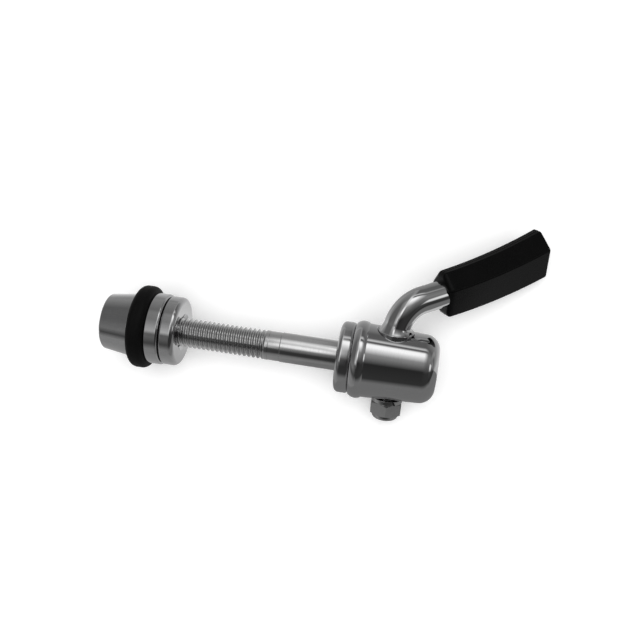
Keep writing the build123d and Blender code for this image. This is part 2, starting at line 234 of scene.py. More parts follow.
def rounded_outline(corners, closed=False, spacing=1.0, degrees=6.0):
    """Straight runs joined by tangent arcs. A corner is (x, y, radius). The arc's ends lie
    radius / tan(half the corner) from it, and the arc swings evenly between them."""
    spots = np.array([corner[:2] for corner in corners], float)
    radii = np.array([corner[2] if len(corner) > 2 else 0.0 for corner in corners])
    back = np.roll(spots, 1, 0) - spots
    onward = np.roll(spots, -1, 0) - spots
    arcs = []
    for i, (spot, radius) in enumerate(zip(spots, radii)):
        if radius == 0 or (not closed and i in (0, len(spots) - 1)):
            arcs.append(spot[None, :])
            continue
        to_back = back[i] / np.linalg.norm(back[i])
        to_onward = onward[i] / np.linalg.norm(onward[i])
        half = math.acos(np.clip(to_back @ to_onward, -1, 1)) / 2
        bisector = (to_back + to_onward) / np.linalg.norm(to_back + to_onward)
        centre = spot + bisector * radius / math.sin(half)
        first = spot + to_back * radius / math.tan(half) - centre
        last = spot + to_onward * radius / math.tan(half) - centre
        swing = math.pi - 2 * half
        share = np.linspace(0, 1, max(4, int(math.degrees(swing) / degrees) + 1))[:, None]
        mixed = first * np.sin((1 - share) * swing) + last * np.sin(share * swing)
        arcs.append(centre + mixed / math.sin(swing))
    line = [arcs[0]]
    followers = arcs[1:] + ([arcs[0]] if closed else [])
    for here, there in zip(arcs, followers):
        line.append(along_run(here[-1], there[0], spacing)[1:-1])
        line.append(there)
    return np.concatenate(line)


def turned(outline, columns=AROUND):
    """A grid of an (x, radius) outline carried round the stud: w is radius times the cosine
    of the angle from the shaft, v radius times its sine."""
    x, r = outline[:, 0, None], outline[:, 1, None]
    angle = np.linspace(0, 2 * math.pi, columns + 1)[None, :]
    return np.stack([x + 0 * angle, r * np.cos(angle), r * np.sin(angle)], -1)


# --- meshes -------------------------------------------------------------------------------
def piece(name, grids, material, body, slot, *nodes):
    """One mesh from grids of points in the bolt's frame. Each cell is a quad; points that
    meet are merged, which closes seams and poles, and the faces are turned outwards."""
    points, faces, count = [], [], 0
    for grid in grids:
        rows, columns = grid.shape[:2]
        corner = np.arange(rows - 1)[:, None] * columns + np.arange(columns - 1)[None, :]
        cell = np.stack([corner, corner + 1, corner + columns + 1, corner + columns], -1)
        faces.append(cell.reshape(-1, 4) + count)
        points.append(grid.reshape(-1, 3))
        count += rows * columns
    points = as_it_lies(np.concatenate(points))
    mesh = bpy.data.meshes.new(name)
    mesh.from_pydata(points, [], np.concatenate(faces))
    work = bmesh.new()
    work.from_mesh(mesh)
    bmesh.ops.remove_doubles(work, verts=work.verts, dist=0.001 * MM)
    bmesh.ops.recalc_face_normals(work, faces=work.faces)
    work.to_mesh(mesh)
    work.free()
    mesh.shade_smooth()
    mesh.set_sharp_from_angle(angle=math.radians(24))
    mesh.materials.append(material)
    thing = bpy.data.objects.new(name, mesh)
    bpy.context.scene.collection.objects.link(thing)
    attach(thing, body)
    if nodes:
        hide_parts(*nodes)
    return thing


# --- shader groups ------------------------------------------------------------------------
def new_group(name, inputs, outputs):
    """An empty shader group with float or vector inputs and float outputs."""
    group = bpy.data.node_groups.new(name, "ShaderNodeTree")
    for label, kind, value in inputs:
        socket = group.interface.new_socket(label, in_out="INPUT", socket_type=kind)
        if kind == "NodeSocketFloat":
            socket.default_value = value
    for label in outputs:
        group.interface.new_socket(label, in_out="OUTPUT", socket_type="NodeSocketFloat")
    return group, group.nodes.new("NodeGroupInput"), group.nodes.new("NodeGroupOutput")


def math_node(tree, operation, first, second=None, third=None):
    """A Math node whose inputs are links or numbers; gives its output."""
    node = tree.nodes.new("ShaderNodeMath")
    node.operation = operation
    for i, value in enumerate((first, second, third)):
        if isinstance(value, (int, float)):
            node.inputs[i].default_value = value
        elif value is not None:
            tree.links.new(value, node.inputs[i])
    return node.outputs[0]


def noise(tree, vector, scale, detail=3.0, roughness=0.55):
    """Noise texture; vector and scale are links or a number for the scale."""
    node = tree.nodes.new("ShaderNodeTexNoise")
    node.inputs["Detail"].default_value = detail
    node.inputs["Roughness"].default_value = roughness
    tree.links.new(vector, node.inputs["Vector"])
    if isinstance(scale, (int, float)):
        node.inputs["Scale"].default_value = scale
    else:
        tree.links.new(scale, node.inputs["Scale"])
    return node.outputs["Fac"]


def stretched(tree, vector, factors):
    """The vector multiplied by three factors."""
    node = tree.nodes.new("ShaderNodeVectorMath")
    node.operation = "MULTIPLY"
    tree.links.new(vector, node.inputs[0])
    node.inputs[1].default_value = factors
    return node.outputs[0]


def make_turning_lines():
    """Marks left by turning: noise that changes along the stud and outwards from it, and
    hardly at all round it."""
    group, given, out = new_group(
        "turning_lines",
        [("Vector", "NodeSocketVector", None), ("Scale", "NodeSocketFloat", 4000.0)],
        ["Height"],
    )
    split = group.nodes.new("ShaderNodeSeparateXYZ")
    group.links.new(given.outputs["Vector"], split.inputs[0])
    y, z = split.outputs[1], split.outputs[2]
    square = math_node(group, "ADD", math_node(group, "MULTIPLY", y, y),
                       math_node(group, "MULTIPLY", z, z))
    radius = math_node(group, "SQRT", square)
    join = group.nodes.new("ShaderNodeCombineXYZ")
    group.links.new(split.outputs[0], join.inputs[0])
    group.links.new(radius, join.inputs[1])
    lines = noise(group, join.outputs[0], given.outputs["Scale"], 2.0)
    group.links.new(lines, out.inputs["Height"])
    return group


def make_fine_scratches():
    """Hair-fine scratches from handling, in two directions: noise stretched a long way."""
    group, given, out = new_group(
        "fine_scratches",
        [("Vector", "NodeSocketVector", None), ("Scale", "NodeSocketFloat", 900.0)],
        ["Mask"],
    )
    total = None
    for factors in ((0.05, 1.0, 0.7), (0.8, 0.09, 1.0)):
        streak = noise(group, stretched(group, given.outputs["Vector"], factors),
                       given.outputs["Scale"], 4.0, 0.7)
        line = math_node(group, "SUBTRACT", 1.0,
                         math_node(group, "MULTIPLY",
                                   math_node(group, "ABSOLUTE",
                                             math_node(group, "SUBTRACT", streak, 0.5)), 24.0))
        line = math_node(group, "MAXIMUM", line, 0.0)
        total = line if total is None else math_node(group, "MAXIMUM", total, line)
    group.links.new(total, out.inputs["Mask"])
    return group


def make_smudges():
    """Soft patches where hands have dulled a polish."""
    group, given, out = new_group(
        "smudges",
        [("Vector", "NodeSocketVector", None), ("Scale", "NodeSocketFloat", 120.0)],
        ["Mask"],
    )
    cloud = noise(group, given.outputs["Vector"], given.outputs["Scale"], 5.0, 0.6)
    mask = math_node(group, "MULTIPLY", math_node(group, "SUBTRACT", cloud, 0.45), 3.0)
    mask = math_node(group, "MINIMUM", math_node(group, "MAXIMUM", mask, 0.0), 1.0)
    group.links.new(mask, out.inputs["Mask"])
    return group


def make_grain():
    """Fine moulded grain: small cells, broken up by noise."""
    group, given, out = new_group(
        "moulded_grain",
        [("Vector", "NodeSocketVector", None), ("Scale", "NodeSocketFloat", 3000.0)],
        ["Height", "Shade"],
    )
    cells = group.nodes.new("ShaderNodeTexVoronoi")
    group.links.new(given.outputs["Vector"], cells.inputs["Vector"])
    group.links.new(given.outputs["Scale"], cells.inputs["Scale"])
    rough = noise(group, given.outputs["Vector"], given.outputs["Scale"], 4.0)
    height = math_node(group, "ADD", cells.outputs["Distance"], rough)
    group.links.new(height, out.inputs["Height"])
    slow = noise(group, given.outputs["Vector"], 260.0, 5.0, 0.65)
    group.links.new(slow, out.inputs["Shade"])
    return group


TURNING_LINES = make_turning_lines()
FINE_SCRATCHES = make_fine_scratches()
SMUDGES = make_smudges()
GRAIN = make_grain()


# --- materials ----------------------------------------------------------------------------
def new_material(name):
    """A material with its Principled shader and the piece's Object coordinates."""
    material = bpy.data.materials.new(name)
    material.use_nodes = True
    tree = material.node_tree
    shader = tree.nodes["Principled BSDF"]
    coordinates = tree.nodes.new("ShaderNodeTexCoord").outputs["Object"]
    return material, tree, shader, coordinates


def use_group(tree, group, vector, scale):
    """Places a shader group with its own scale."""
    node = tree.nodes.new("ShaderNodeGroup")
    node.node_tree = group
    tree.links.new(vector, node.inputs["Vector"])
    node.inputs["Scale"].default_value = scale
    return node


def ranged(tree, value, low, high):
    """A 0 to 1 value carried to the range low to high."""
    node = tree.nodes.new("ShaderNodeMapRange")
    tree.links.new(value, node.inputs["Value"])
    node.inputs["To Min"].default_value = low
    node.inputs["To Max"].default_value = high
    return node.outputs["Result"]


def two_colours(tree, value, first, second):
    """Colour between two, by a 0 to 1 value."""
    node = tree.nodes.new("ShaderNodeMix")
    node.data_type = "RGBA"
    tree.links.new(value, node.inputs["Factor"])
    node.inputs["A"].default_value = (*first, 1)
    node.inputs["B"].default_value = (*second, 1)
    return node.outputs["Result"]


def bumped(tree, shader, height, strength, distance):
    """A Bump node from a height to the shader's normal; distance in millimetres."""
    node = tree.nodes.new("ShaderNodeBump")
    node.inputs["Strength"].default_value = strength
    node.inputs["Distance"].default_value = distance * MM
    tree.links.new(height, node.inputs["Height"])
    tree.links.new(node.outputs["Normal"], shader.inputs["Normal"])


def metal(name, bright, dull, polish, haze, lines, depth):
    """Plated metal: turning marks and scratches in the bump, smudges in colour and gloss.
    polish and haze are the roughness where clean and dulled; depth is the bump's, in mm."""
    material, tree, shader, place = new_material(name)
    shader.inputs["Metallic"].default_value = 1.0
    marks = use_group(tree, TURNING_LINES, place, lines).outputs["Height"]
    scratches = use_group(tree, FINE_SCRATCHES, place, 700.0).outputs["Mask"]
    dulled = use_group(tree, SMUDGES, place, 150.0).outputs["Mask"]
    worn = math_node(tree, "MAXIMUM", dulled, math_node(tree, "MULTIPLY", scratches, 0.6))
    tree.links.new(two_colours(tree, worn, bright, dull), shader.inputs["Base Color"])
    tree.links.new(ranged(tree, worn, polish, haze), shader.inputs["Roughness"])
    height = math_node(tree, "SUBTRACT", marks, math_node(tree, "MULTIPLY", scratches, 0.4))
    bumped(tree, shader, height, 0.25, depth)
    return material


def moulded(name, dark, light, smooth, rough, grain, depth, strength, sheen):
    """Moulded finish: grain in the bump, slow clouding in colour and gloss. smooth and rough
    are the ends of the roughness; depth is the bump's, in mm."""
    material, tree, shader, place = new_material(name)
    shader.inputs["Specular IOR Level"].default_value = sheen
    cells = use_group(tree, GRAIN, place, grain)
    scratches = use_group(tree, FINE_SCRATCHES, place, 500.0).outputs["Mask"]
    clouded = math_node(tree, "MAXIMUM", cells.outputs["Shade"],
                        math_node(tree, "MULTIPLY", scratches, 0.8))
    tree.links.new(two_colours(tree, clouded, dark, light), shader.inputs["Base Color"])
    tree.links.new(ranged(tree, clouded, smooth, rough), shader.inputs["Roughness"])
    bumped(tree, shader, cells.outputs["Height"], strength, depth)
    return material


CHROME = metal("polished_chrome", (0.58, 0.58, 0.585), (0.54, 0.54, 0.54), 0.03, 0.07, 3000.0,
               0.002)
NUT_CHROME = metal("turned_chrome", (0.58, 0.58, 0.585), (0.52, 0.52, 0.52), 0.06, 0.12, 5200.0,
                   0.004)
ZINC = metal("zinc_steel", (0.6, 0.6, 0.6), (0.53, 0.53, 0.53), 0.07, 0.13, 4200.0, 0.004)
RUBBER = moulded("ring_rubber", (0.0015, 0.0015, 0.0015), (0.004, 0.004, 0.004), 0.45, 0.65,
                 2600.0, 0.03, 0.5, 0.12)
NYLON = moulded("nylon", (0.7, 0.69, 0.66), (0.6, 0.59, 0.57), 0.4, 0.55, 3000.0, 0.01, 0.3, 0.5)
PLASTIC = moulded("grip_plastic", (0.0008, 0.0008, 0.0008), (0.003, 0.003, 0.003), 0.2, 0.34,
                  3600.0, 0.02, 0.3, 0.1)


# --- stud ---------------------------------------------------------------------------------
def thread_depth_at(turn):
    """Depth of a rolled thread, 0 at its crest and 1 at its root. turn counts pitches; the
    crest and root are flat and the flanks between them are eased at both ends."""
    off_crest = np.abs((turn % 1.0) - 0.5) * 2
    flank = np.clip((off_crest - 0.12) / 0.7, 0, 1)
    return 0.6 * flank + 0.4 * flank * flank * (3 - 2 * flank)


def stud_body():
    """Thread, neck, shank and cone. Over the thread the radius is the crest's less the depth
    at x / pitch - angle / 360 degrees, faded out in its last turn. The cone towards the head
    is clipped by the head's two flats."""
    thread_end = -SHANK_LENGTH - NECK_LENGTH
    ring = 0.9
    rows = int((thread_end - ring - STUD_START) / STUD_PITCH * 22)
    x = np.linspace(STUD_START, thread_end - ring, rows)[:, None]
    angle = np.linspace(0, 2 * math.pi, 97)[None, :]
    fade = np.clip((thread_end - ring - x) / (1.2 * STUD_PITCH), 0, 1)
    depth = THREAD_DEPTH * STUD_PITCH * thread_depth_at(x / STUD_PITCH - angle / (2 * math.pi))
    chamfered = CREST_R - STUD_CHAMFER + (x - STUD_START)
    r = np.minimum(CREST_R - depth * fade, chamfered)
    thread = np.stack([x + 0 * angle, r * np.cos(angle), r * np.sin(angle)], -1)
    pole = thread[:1] * np.array([1.0, 0.0, 0.0])
    head_start, _, _ = head_places()
    outline = rounded_outline([
        (thread_end - ring, CREST_R),
        (thread_end - 0.12, CREST_R, 0.1),
        (thread_end, NECK_R, 0.05),
        (-SHANK_LENGTH - 0.08, NECK_R, 0.03),
        (-SHANK_LENGTH - 0.04, NECK_R - 0.05, 0.02),
        (-SHANK_LENGTH, NECK_R, 0.03),
        (-SHANK_LENGTH + 0.1, SHANK_R, 0.05),
        (head_start - HEAD_CONE, SHANK_R, 0.6),
        (head_start, HEAD_R),
        (head_start + 0.3, HEAD_R),
        (head_start + 0.3, 0),
    ])
    rest = turned(outline, 96)
    widest = np.where(outline[:, 0] > head_start - HEAD_CONE - 0.7, HEAD_HALF, SHANK_R + 1)
    widest = np.maximum(widest, np.where(outline[:, 0] < head_start - HEAD_CONE, SHANK_R, 0))
    rest[..., 1] = np.clip(rest[..., 1], -widest[:, None], widest[:, None])
    return [np.concatenate([pole, thread]), rest]


def head_places():
    """Start and end of the stud's head, and the middle of its eye, along x."""
    eye_x = SHAFT_X + CAM_THROW * math.sin(LEVER_ANGLE)
    return eye_x - EYE_R - EYE_WALL, STUD_END, eye_x


def stud_head():
    """The flat-sided head with its eye, one closed band. Its outer outline at height w is the
    turned head's: v is the root of radius squared less w squared. The inner outline is a slot.
    The band runs up the outside, over one flat, down through the eye and back."""
    start, end, eye_x = head_places()
    share = np.linspace(0, 1, 41)
    corner = np.linspace(0, math.pi / 2, 13)
    x = np.concatenate([
        start + share[:-1] * (end - HEAD_ROUND - start),
        end - HEAD_ROUND + HEAD_ROUND * np.sin(corner),
    ])
    r = np.concatenate([
        np.full(40, HEAD_R),
        HEAD_R - HEAD_ROUND + HEAD_ROUND * np.cos(corner),
    ])
    w = np.linspace(-HEAD_HALF, HEAD_HALF, 13)
    side = np.sqrt(np.maximum(r[None, :] ** 2 - w[:, None] ** 2, 0))
    across = side[:, -1:] * np.linspace(1, -1, 15)[None, 1:-1]
    back = side[:, :1] * np.linspace(-1, 1, 15)[None, 1:]
    outer_x = np.concatenate([x, np.full(13, end), x[::-1], np.full(14, start)])
    outer_v = np.concatenate([side, across, -side[:, ::-1], back], 1)
    outer = np.stack([outer_x + 0 * outer_v, w[:, None] + 0 * outer_v, outer_v], -1)
    angle = np.arctan2(outer_v[0] - CAM_THROW / 2, outer_x - eye_x)
    eye_x_line = eye_x + EYE_R * np.cos(angle)
    eye_v_line = CAM_THROW / 2 + EYE_R * np.sin(angle) + CAM_THROW / 2 * np.sign(np.sin(angle))
    eye = np.stack([eye_x_line + 0 * outer_v, outer[..., 1], eye_v_line + 0 * outer_v], -1)
    return [np.concatenate([outer, eye[::-1], outer[:1]])]


# --- turned pieces ------------------------------------------------------------------------
def clamp_washer(node, first_round, last_round):
    """Thick washer: a rounded outline with a chamfered bore, carried round the stud."""
    start, end = ends(node)
    outline = rounded_outline([
        (start + WASHER_CHAMFER, WASHER_BORE_R),
        (start, WASHER_BORE_R + WASHER_CHAMFER, 0.12),
        (start, reach(node), first_round),
        (end, reach(node), last_round),
        (end, WASHER_BORE_R + WASHER_CHAMFER, 0.12),
        (end - WASHER_CHAMFER, WASHER_BORE_R, 0.12),
        (start + WASHER_CHAMFER, WASHER_BORE_R),
    ])
    return [turned(outline)]


def cone_nut():
    """Cone nut: cone, groove for the ring and flange, carried round the stud."""
    flange = NUT_END - FLANGE_WIDTH
    groove = RING_START - RING_GAP
    outline = rounded_outline([
        (NUT_START + NUT_LEAD, NUT_BORE_R),
        (NUT_START, NUT_BORE_R + NUT_LEAD, 0.1),
        (NUT_START, CONE_SMALL_R, CONE_ROUND),
        (groove, CONE_BIG_R, CONE_LIP),
        (groove, GROOVE_R, 0.15),
        (flange, GROOVE_R, 0.15),
        (flange, FLANGE_R, FLANGE_ROUND / 2),
        (NUT_END, FLANGE_R, FLANGE_ROUND),
        (NUT_END, NUT_BORE_R + NUT_LEAD, 0.1),
        (NUT_END - NUT_LEAD, NUT_BORE_R, 0.1),
        (NUT_START + NUT_LEAD, NUT_BORE_R),
    ])
    return [turned(outline)]


def rubber_ring():
    """Ring with rounded shoulders, its outline carried round the stud."""
    inner = GROOVE_R + RING_GAP
    outline = rounded_outline([
        (RING_START, inner),
        (RING_START, RING_R, RING_ROUND),
        (RING_END, RING_R, RING_ROUND),
        (RING_END, inner),
        (RING_START, inner),
    ], spacing=0.12)
    return [turned(outline)]


# --- housing ------------------------------------------------------------------------------
HOLE_HALF_LENGTH = 6.0    # the holes' surroundings are a patch this long each way from the shaft
HOLE_HALF_COLUMNS = 33    # and this many columns each way
PATCH_ROWS = 24


def barrel_radius(x):
    """Outer radius of the tapered barrel at x."""
    share = (x - HOUSING_START - RIM_WIDTH) / (HOUSING_END - HOUSING_START - RIM_WIDTH)
    return BASE_R + (END_R - BASE_R) * share


def bore_radius(x):
    """The bore's radius, the same all along."""
    return BORE_R + 0 * x


def band_sides(radius):
    """The wall beside the two holes: x over the patch's length, angle between the patches."""
    x = np.linspace(SHAFT_X - HOLE_HALF_LENGTH, SHAFT_X + HOLE_HALF_LENGTH, PATCH_ROWS + 1)
    grids = []
    for first in (HOLE_HALF_COLUMNS, AROUND // 2 + HOLE_HALF_COLUMNS):
        columns = np.arange(first, first + AROUND // 2 - 2 * HOLE_HALF_COLUMNS + 1)
        angle = columns[None, :] * 2 * math.pi / AROUND
        r = radius(x)[:, None]
        grids.append(np.stack([x[:, None] + 0 * angle, r * np.cos(angle), r * np.sin(angle)], -1))
    return grids


def hole_border():
    """The patch's rectangular border in x and angle, and each point's heading from the shaft.
    Both walls use the same headings, so that their rays meet the hole's wall together."""
    columns = 2 * HOLE_HALF_COLUMNS
    x_line = np.linspace(-HOLE_HALF_LENGTH, HOLE_HALF_LENGTH, PATCH_ROWS + 1)
    t_line = np.linspace(-HOLE_HALF_COLUMNS, HOLE_HALF_COLUMNS, columns + 1) * 2 * math.pi / AROUND
    border_x = np.concatenate([x_line, np.full(columns, x_line[-1]), x_line[-2::-1],
                               np.full(columns, x_line[0])])
    border_t = np.concatenate([np.full(PATCH_ROWS + 1, t_line[0]), t_line[1:],
                               np.full(PATCH_ROWS, t_line[-1]), t_line[-2::-1]])
    return border_x, border_t, np.arctan2(border_t * BASE_R, border_x)


def hole_patch(radius, hole_r, side, levels):
    """The wall round one hole. Each ray runs, in x and angle, from the hole's edge to the
    patch's border; the edge is the circle of the hole carried up to the wall, where the
    angle's sine is its sideways distance over the wall's radius."""
    border_x, border_t, heading = hole_border()
    edge_x = hole_r * np.cos(heading)
    edge_t = np.arcsin(hole_r * np.sin(heading) / radius(SHAFT_X + edge_x))
    share = np.linspace(0, 1, levels)[:, None] ** 1.3
    x = SHAFT_X + edge_x + (border_x - edge_x) * share
    t = edge_t + (border_t - edge_t) * share
    r = radius(x)
    return np.stack([x, side * r * np.cos(t), r * np.sin(t)], -1)


def housing():
    """Rim, barrel, rounded end and bore, carried round the stud; the two cross holes; a
    chamfered mouth on the upper one and a flat round the lower one."""
    rim_end = HOUSING_START + RIM_WIDTH
    low_x, high_x = SHAFT_X - HOLE_HALF_LENGTH, SHAFT_X + HOLE_HALF_LENGTH
    face_r = RIM_R - RIM_FACE_STEP
    bead = bead_outline(face_r, rim_end)
    front = np.concatenate([bead, [[low_x, barrel_radius(low_x)]]])
    front = np.concatenate([front[:-1], along_run(front[-2], front[-1], 0.5)[1:]])
    end = rounded_outline([
        (high_x, barrel_radius(high_x)),
        (HOUSING_END, END_R, END_ROUND),
        (HOUSING_END, 0),
    ], spacing=0.5, degrees=3.0)
    mouth = rounded_outline([
        (low_x, BORE_R),
        (HOUSING_START, BORE_R, 0.1),
        (HOUSING_START, face_r),
    ])
    floor = rounded_outline([
        (high_x, BORE_R),
        (HOUSING_END - END_WALL, BORE_R, 0.3),
        (HOUSING_END - END_WALL, 0),
    ])
    grids = [turned(front), turned(end), turned(mouth), turned(floor)]
    grids += band_sides(barrel_radius) + band_sides(bore_radius)
    heading = hole_border()[2]
    for side, hole_r, chamfer in ((1, UPPER_HOLE_R, MOUTH_CHAMFER), (-1, LOWER_HOLE_R, 0.0)):
        outer = hole_patch(barrel_radius, hole_r + chamfer, side, 26)
        inner = hole_patch(bore_radius, hole_r, side, 12)
        if side < 0:
            from_shaft = np.hypot(outer[..., 0] - SHAFT_X, outer[..., 2])
            flat = np.where(from_shaft < SPOT_R, np.maximum(outer[..., 1], SPOT_W), outer[..., 1])
            outer[..., 1] = flat
        brim = outer[0].copy()
        brim[:, 0] = SHAFT_X + hole_r * np.cos(heading)
        brim[:, 1] -= side * chamfer
        brim[:, 2] = hole_r * np.sin(heading)
        grids += [outer, inner, np.stack([brim, inner[0]])]
        if chamfer:
            grids.append(np.stack([outer[0], brim]))
    return grids


def bead_outline(face_r, rim_end):
    """The round rim: one arc through its edge at the clamp face, its crest and its foot."""
    first = np.array([HOUSING_START, face_r])
    crest = np.array([HOUSING_START + RIM_WIDTH / 2, RIM_R])
    last = np.array([rim_end, BASE_R])
    rows = np.array([crest - first, last - crest])
    halves = np.array([(crest @ crest - first @ first) / 2, (last @ last - crest @ crest) / 2])
    centre = np.linalg.solve(rows, halves)
    start, stop = (math.atan2(*(p - centre)[::-1]) for p in (first, last))
    angle = np.linspace(start, stop, 25)
    radius = np.linalg.norm(first - centre)
    return centre + radius * np.stack([np.cos(angle), np.sin(angle)], -1)


# --- lever --------------------------------------------------------------------------------
def grip_line(length):
    """Point and heading, in the lever's own plane, at a distance beyond the bar's straight
    run: the line curves up with the grip's radius. The heading is the angle from w."""
    start_x = BEND_RADIUS * (1 - math.cos(BEND_ANGLE)) + ROD_TO_GRIP * math.sin(BEND_ANGLE)
    start_w = BEND_START + BEND_RADIUS * math.sin(BEND_ANGLE) + ROD_TO_GRIP * math.cos(BEND_ANGLE)
    heading = BEND_ANGLE - np.asarray(length, float) / GRIP_CURVE
    x = start_x + GRIP_CURVE * (np.cos(heading) - math.cos(BEND_ANGLE))
    w = start_w + GRIP_CURVE * (math.sin(BEND_ANGLE) - np.sin(heading))
    return x, w, heading


def rings(x, w, heading, radius, shift, columns=96):
    """Circles carried along a line in the lever's plane: the point plus radius times the
    cosine of the angle sideways in the plane, and its sine, plus any shift, across it."""
    angle = np.linspace(0, 2 * math.pi, columns + 1)[None, :]
    x, w, heading, shift = (np.asarray(part, float)[:, None] for part in (x, w, heading, shift))
    radius = radius if np.ndim(radius) == 2 else np.asarray(radius, float)[:, None]
    out = radius * np.cos(angle)
    return np.stack([x + out * np.cos(heading), w - out * np.sin(heading),
                     shift + radius * np.sin(angle)], -1)


def lever():
    """Threaded tail, lower journal, eccentric, upper journal, flare, bend, bar and tang: one
    unbroken run of rings along the shaft and on along the bar. Over the flare the radius
    falls with the square of the share left, and the rings tip over with the bend."""
    columns = 96
    tail_rows = int((SHOULDER_W - TAIL_W) / TAIL_PITCH * 20)
    w_tail = np.linspace(TAIL_W, SHOULDER_W, tail_rows)[:, None]
    angle = np.linspace(0, 2 * math.pi, columns + 1)[None, :]
    fade = np.clip((SHOULDER_W - 0.6 - w_tail) / TAIL_PITCH, 0, 1)
    depth = THREAD_DEPTH * TAIL_PITCH * thread_depth_at(w_tail / TAIL_PITCH + angle / (2 * math.pi))
    r_tail = np.minimum(TAIL_R - depth * fade, TAIL_R - TAIL_CHAMFER + (w_tail - TAIL_W))
    flat = np.zeros(tail_rows)
    tail = rings(flat, w_tail[:, 0], flat, r_tail, flat)
    pole = tail[:1].copy()
    pole[..., 0] = 0.0
    pole[..., 2] = 0.0
    steps = np.array([
        (SHOULDER_W, TAIL_R, 0), (SHOULDER_W, PIVOT_R - 0.15, 0), (SHOULDER_W + 0.15, PIVOT_R, 0),
        (-HALF_CAM, PIVOT_R, 0), (-HALF_CAM, CAM_R, CAM_THROW), (HALF_CAM, CAM_R, CAM_THROW),
        (HALF_CAM, JOURNAL_R, 0), (HALF_CAM + 0.1, JOURNAL_R, 0),
    ])
    still = np.zeros(len(steps))
    shaft = rings(still, steps[:, 0], still, steps[:, 1], steps[:, 2])
    outline = rounded_outline([
        (HALF_CAM + 0.1, JOURNAL_R),
        (JOURNAL_TOP, JOURNAL_R, JOURNAL_EDGE),
        (JOURNAL_TOP, ROD_R + FLARE_WIDTH),
    ])[1:-1]
    still = np.zeros(len(outline))
    top = rings(still, outline[:, 0], still, outline[:, 1], still)
    flare_start = math.asin((JOURNAL_TOP - BEND_START) / BEND_RADIUS)
    flare = np.linspace(0, 1, FLARE_RINGS)
    bend = np.concatenate([flare_start + flare * (FLARE_END - flare_start),
                           np.linspace(FLARE_END, BEND_ANGLE, 41)[1:]])
    bar_x = BEND_RADIUS * (1 - np.cos(bend))
    bar_w = BEND_START + BEND_RADIUS * np.sin(bend)
    bend[:FLARE_RINGS] = flare * FLARE_END
    run = np.array([0.1, 1.5, 3.0, 4.5, 6.0, ROD_TO_GRIP + 0.3])
    bar_x = np.concatenate([bar_x, bar_x[-1] + run * math.sin(BEND_ANGLE)])
    bar_w = np.concatenate([bar_w, bar_w[-1] + run * math.cos(BEND_ANGLE)])
    heading = np.concatenate([bend, np.full(len(run), BEND_ANGLE)])
    radius = np.full(len(bar_x), ROD_R)
    radius[:FLARE_RINGS] += FLARE_WIDTH * (1 - flare) ** 2
    bar = rings(bar_x, bar_w, heading, radius, 0 * bar_x)
    length = np.linspace(0.3, TANG_LENGTH, 25)
    tang_x, tang_w, tang_heading = grip_line(length)
    tang = rings(tang_x, tang_w, tang_heading, np.full(len(length), TANG_R), 0 * length)
    middle = tang[-1:, :-1].mean(1, keepdims=True)
    tip = np.repeat(middle, tang.shape[1], 1)
    return [swung(np.concatenate([pole, tail, shaft, top, bar, tang, tip]))]


def grip():
    """Moulded grip: a six-sided outline with rounded corners and a thin parting line, carried
    along the grip's curve. It shrinks over a quarter circle at each end, and a blind hole
    takes the bar."""
    corners = [(h, b, GRIP_EDGE_ROUND) for h, b in GRIP_SIDE]
    corners += [(h, -b, GRIP_EDGE_ROUND) for h, b in reversed(GRIP_SIDE)]
    outline = rounded_outline(corners, closed=True, spacing=0.14)
    high, side = outline[:, 0], outline[:, 1]
    seam = GRIP_SEAM * np.exp(-((side / 0.1) ** 2)) * np.sign(high)
    high = high + np.where(np.abs(high) > 5, seam, 0)
    bearing = np.arctan2(side, high)
    hole_r = TANG_R + TANG_GAP
    hole_high, hole_side = hole_r * np.cos(bearing), hole_r * np.sin(bearing)
    quarter = np.linspace(0, math.pi / 2, 8)
    reach_mid = 5.0
    near_s = GRIP_NOSE_ROUND * (1 - np.cos(quarter))
    near_scale = 1 - GRIP_NOSE_ROUND * (1 - np.sin(quarter)) / reach_mid
    far_s = GRIP_LENGTH - GRIP_END_ROUND * (1 - np.cos(quarter[::-1]))
    far_scale = 1 - GRIP_END_ROUND * (1 - np.sin(quarter[::-1])) / reach_mid
    body_s = np.linspace(GRIP_NOSE_ROUND, GRIP_LENGTH - GRIP_END_ROUND, 40)[1:-1]
    length = np.concatenate([near_s, body_s, far_s])
    scale = np.concatenate([near_scale, np.ones(len(body_s)), far_scale])
    scale = scale * (1 + GRIP_GROWTH * length / GRIP_LENGTH)
    skin = [(l, s * high, s * side) for l, s in zip(length, scale)]
    hole_end = TANG_LENGTH + TANG_END_GAP
    rows = [(hole_end, 0 * high, 0 * side), (hole_end, hole_high, hole_side),
            (0.0, hole_high, hole_side)]
    rows += skin
    rows.append((GRIP_LENGTH, 0.6 * high, 0.6 * side))
    rows.append((GRIP_LENGTH, 0 * high, 0 * side))
    grid = []
    for distance, up, over in rows:
        lean = GRIP_SLANT * distance / GRIP_LENGTH
        x, w, heading = grip_line(distance)
        heading = heading + lean
        grid.append(np.stack([x - up * np.cos(heading), w + up * np.sin(heading), over], -1))
    return [swung(np.array(grid))]


